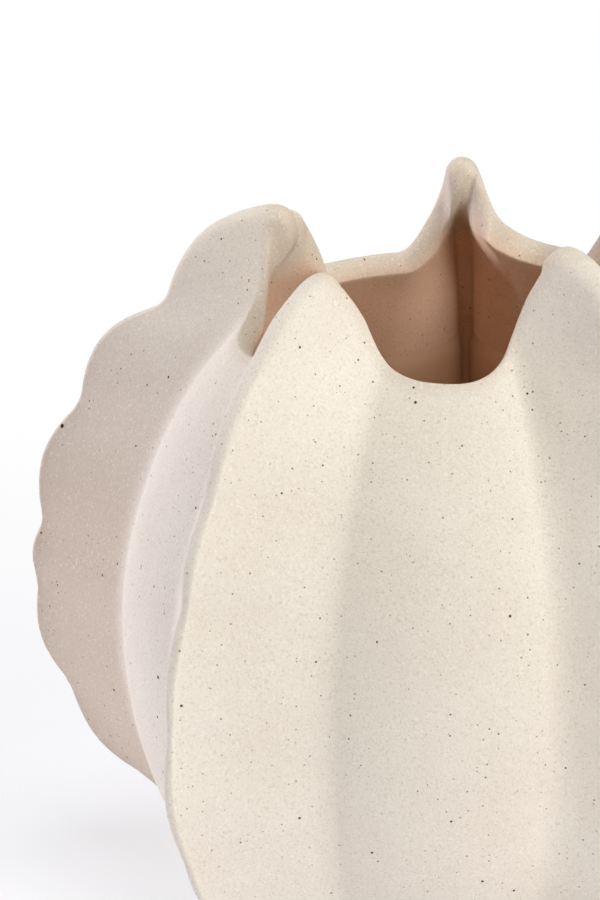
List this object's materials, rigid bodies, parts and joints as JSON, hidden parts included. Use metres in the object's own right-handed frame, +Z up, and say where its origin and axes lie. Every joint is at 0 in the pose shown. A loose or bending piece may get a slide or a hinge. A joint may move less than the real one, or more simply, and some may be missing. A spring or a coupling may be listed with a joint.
{
  "type": "fan vase",
  "caption": "Round stoneware flower vase with hollow scalloped fins round the body and an open star-shaped mouth.",
  "frame": {"origin": "centre of the flat foot, on the surface that the vase stands on", "axes": "+Z up along the vase's axis; -Y towards the front, where one panel faces between two fins; +X to the right as seen from the front"},
  "size_m": [0.2417, 0.228, 0.2041],
  "materials": {
    "clay_body": "matte speckled bisque with a dry surface",
    "liner_glaze": "glossy clear amber poured glaze"
  },
  "bodies": {
    "root": {"left_wall": "clay_body", "front_wall": "clay_body", "right_wall": "clay_body", "back_right_wall": "clay_body", "back_left_wall": "clay_body", "floor_slab": "clay_body", "liner_glaze": "liner_glaze", "seam_coil_left": "clay_body", "seam_coil_front_left": "clay_body", "seam_coil_front_right": "clay_body", "seam_coil_right": "clay_body", "seam_coil_back": "clay_body"}
  },
  "joints": []
}
